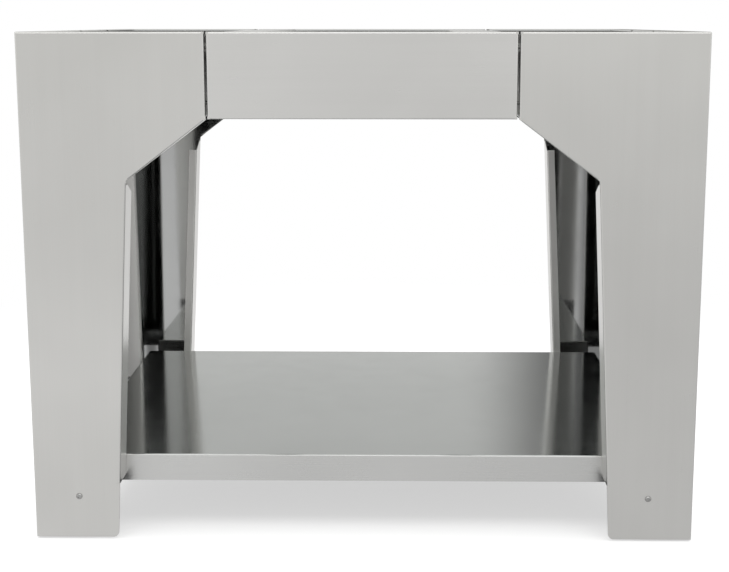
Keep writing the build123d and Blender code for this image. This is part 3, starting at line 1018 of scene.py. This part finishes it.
ground = bmesh.new()
for outline, depth in fills:
    for side_x in (-1, 1):
        for side_y in (-1, 1):
            for along_x in (True, False):
                block(ground, *(on_stand(outline, back, side_x, side_y, along_x) for back in (flush, depth)))
ground_corners = as_object("ground_corners", closed_mesh("ground_corners", ground))
ground_corners.data.materials.append(leg_steel)
bevel = ground_corners.modifiers.new("bevel", "BEVEL")
bevel.width = 0.0003
bevel.segments = 2
finish_piece(ground_corners, "frame", "stainless_leg")

# %% [markdown]
# ## Welds
# The returns of a leg meet in a mitre under the top edge, and the big nut is welded to its bracket.
# A weld is a row of small drops that overlap. So a second tree walks along each path at an even
# spacing and sets a flat drop at every step, with sizes that vary a little under a fixed seed.

# %% A tree that lays beads along a path
beads, bead_sockets, given, output = new_tree("beads_along_path", {
    "Shape": "Object", "Spacing": "Float", "Smallest": "Float", "Largest": "Float", "Seed": "Int",
    "Finish": "Material"})
steps = beads.nodes.new("GeometryNodeResampleCurve")
steps.mode = "LENGTH"
vary = beads.nodes.new("FunctionNodeRandomValue")
vary.data_type = "FLOAT"
set_beads = shape_on_points(beads, given, steps.outputs["Curve"])
beads.links.new(given.outputs["Geometry"], steps.inputs["Curve"])
beads.links.new(given.outputs["Spacing"], steps.inputs["Length"])
float_inputs = [socket for socket in vary.inputs if socket.enabled and socket.name in ("Min", "Max")]
beads.links.new(given.outputs["Smallest"], float_inputs[0])
beads.links.new(given.outputs["Largest"], float_inputs[1])
beads.links.new(given.outputs["Seed"], vary.inputs["Seed"])
varied = next(socket for socket in vary.outputs if socket.enabled)
beads.links.new(varied, set_beads.inputs["Scale"])
realized(beads, set_beads.outputs["Instances"], given, output)
print("tree", beads.name, "with inputs", list(bead_sockets))

# %% Paths of the welds
under_return, mitre_ends = 0.0017, (0.005, 0.033)
nut_foot, ring_radius, ring_points = 0.0305, 0.0102, 24
paths = bpy.data.curves.new("weld_paths", "CURVE")
paths.dimensions = "3D"


def add_path(points, closed):
    """Adds one run of weld."""
    spline = paths.splines.new("POLY")
    spline.points.add(len(points) - 1)
    for slot, point in zip(spline.points, points):
        slot.co = (*point, 1)
    spline.use_cyclic_u = closed


for corner in corner_names:
    low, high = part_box("foot_stud_" + corner)
    middle = (low + high) / 2
    side_x, side_y = math.copysign(1, middle.x), math.copysign(1, middle.y)
    mitre = [(side_x * (half_x - d), side_y * (half_y - d), top - under_return) for d in mitre_ends]
    add_path(mitre, False)
    ring = []
    for k in range(ring_points):
        angle = math.tau * k / ring_points
        x, y = middle.x + ring_radius * math.cos(angle), middle.y + ring_radius * math.sin(angle)
        ring.append((x, y, nut_foot))
    add_path(ring, True)
print("runs of weld", len(paths.splines))

# %% Lay the welds
drop_outline = [(0.7, -0.55), (1.5, -0.3), (1.7, 0), (1.5, 0.3), (0.7, 0.55)]
drop = ring_stack("drop", round_rings(drop_outline), sides=10)
welds = run_tree("welds", as_object("weld_paths", paths), beads, bead_sockets,
                 {"Shape": drop, "Spacing": 0.0012, "Smallest": 0.9, "Largest": 1.12, "Seed": 7,
                  "Finish": fastener_steel})
finish_piece(welds, "frame", "fastener_steel")

# %% [markdown]
# ## Spot welds
# The stiffeners are spot-welded to the shelf through their brims. Each spot leaves a shallow round
# mark on the underside, so the first tree serves once more, with a flat ring as its shape.

# %% Spot welds under the shelf
sheet, brim_reach = 0.0015, 0.029
spots_in_row, spot_pitch = 11, 0.080
mark_outline = [(1.4, 0.2), (1.6, -0.02), (2.2, -0.18), (2.8, -0.15), (3.2, 0.2)]
row = [(k - (spots_in_row - 1) / 2) * spot_pitch for k in range(spots_in_row)]
spots = []
for name in ("shelf_stiffener_front", "shelf_stiffener_rear"):
    low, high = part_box(name)
    for side in (-1, 1):
        y = (low.y + high.y) / 2 + side * brim_reach
        spots += [(Vector((x, y, high.z - sheet)), unturned) for x in row]
mark = ring_stack("mark", round_rings(mark_outline), sides=16)
spot_welds = copies_of("spot_welds", mark, spots, inner_steel)
finish_piece(spot_welds, "frame", "stainless_inner")

# %% [markdown]
# ## The size
# The box round the dressed stand is printed. The dressed stand may not grow past the CAD
# model.

# %% Box round the dressed stand
low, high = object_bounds()
print("visual box", [round(v, 4) for v in low], [round(v, 4) for v in high])
